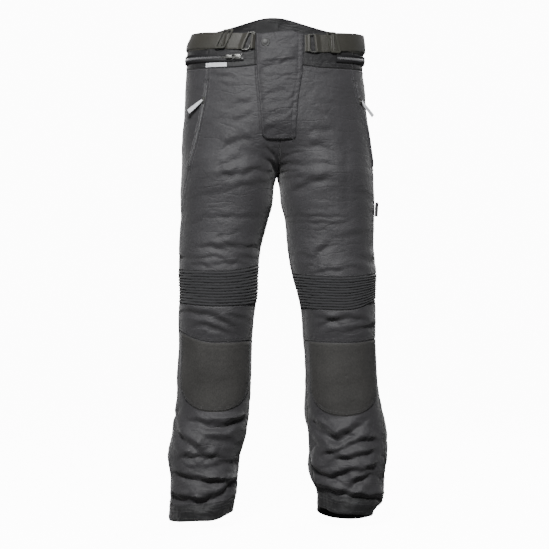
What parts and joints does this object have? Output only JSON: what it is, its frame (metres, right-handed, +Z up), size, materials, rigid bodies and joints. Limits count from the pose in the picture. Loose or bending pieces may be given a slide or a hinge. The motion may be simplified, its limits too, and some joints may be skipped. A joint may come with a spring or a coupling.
{
  "type": "motorcycle trousers",
  "caption": "Dark grey textile motorcycle trousers, filled out and hollow, with stretch knees, shin shields, webbing waist adjusters and zipped side pockets.",
  "frame": {"origin": "middle of the waist opening, at the height where the waistband grips the wearer", "axes": "+Z up the body, -Y the front of the garment, +X towards the wearer's left"},
  "size_m": [0.4591, 0.2604, 1.0741],
  "materials": {
    "shell_cloth": "fine plain-weave coated nylon with a soft sheen",
    "shield_cloth": "coarser matt ballistic nylon",
    "stretch_cloth": "ribbed stretch cloth, matt",
    "webbing": "woven webbing, slightly glossy",
    "zip_dark": "black zip tape and lining, matt",
    "metal": "dull dark nickel",
    "buckle": "satin moulded plastic",
    "reflective": "pale reflective film, satin"
  },
  "bodies": {
    "garment": {"front_thigh_R": "shell_cloth", "front_thigh_L": "shell_cloth", "stretch_knee_R": "stretch_cloth", "stretch_knee_L": "stretch_cloth", "knee_band_R": "shell_cloth", "knee_band_L": "shell_cloth", "shin_front_R": "shell_cloth", "shin_front_L": "shell_cloth", "shin_shield_R": "shield_cloth", "shin_shield_L": "shield_cloth", "seat_back_R": "shell_cloth", "seat_back_L": "shell_cloth", "back_calf_R": "shell_cloth", "back_calf_L": "shell_cloth", "hem_cuff_R": "shell_cloth", "hem_cuff_L": "shell_cloth", "waistband_front_R": "shell_cloth", "waistband_front_L": "shell_cloth", "waistband_back": "shell_cloth", "fly_flap": "shell_cloth", "snap_button": "metal", "strap_R": "webbing", "strap_L": "webbing", "ring_tab_R": "webbing", "ring_tab_L": "webbing", "ring_R": "metal", "ring_L": "metal", "strap_slider_R": "buckle", "strap_slider_L": "buckle", "waist_zip_tape": "zip_dark", "waist_zip_slider": "metal", "pocket_welt_R": "shell_cloth", "pocket_welt_L": "shell_cloth", "pocket_slider_R": "metal", "pocket_slider_L": "metal", "waist_patch": "reflective", "inside_label": "zip_dark", "side_label": "zip_dark"},
    "pull_pocket_R": {"pocket_pull_R": "reflective"},
    "pull_pocket_L": {"pocket_pull_L": "reflective"},
    "pull_waist": {"waist_zip_pull": "metal"}
  },
  "joints": [
    {"name": "pocket_pull_R_hinge", "type": "hinge", "parent": "garment", "child": "pull_pocket_R", "pos_m": [-0.1599, -0.08152, -0.11164], "axis": [-0.4372, 0.3844, 0.8131], "range_deg": [-6, 120]},
    {"name": "pocket_pull_L_hinge", "type": "hinge", "parent": "garment", "child": "pull_pocket_L", "pos_m": [0.1723, -0.06437, -0.11136], "axis": [-0.4688, -0.6607, -0.5863], "range_deg": [-6, 120]},
    {"name": "waist_pull_hinge", "type": "hinge", "parent": "garment", "child": "pull_waist", "pos_m": [-0.09352, -0.10552, -0.0237], "axis": [0.013, 0.0553, 0.9984], "range_deg": [0, 165]}
  ]
}
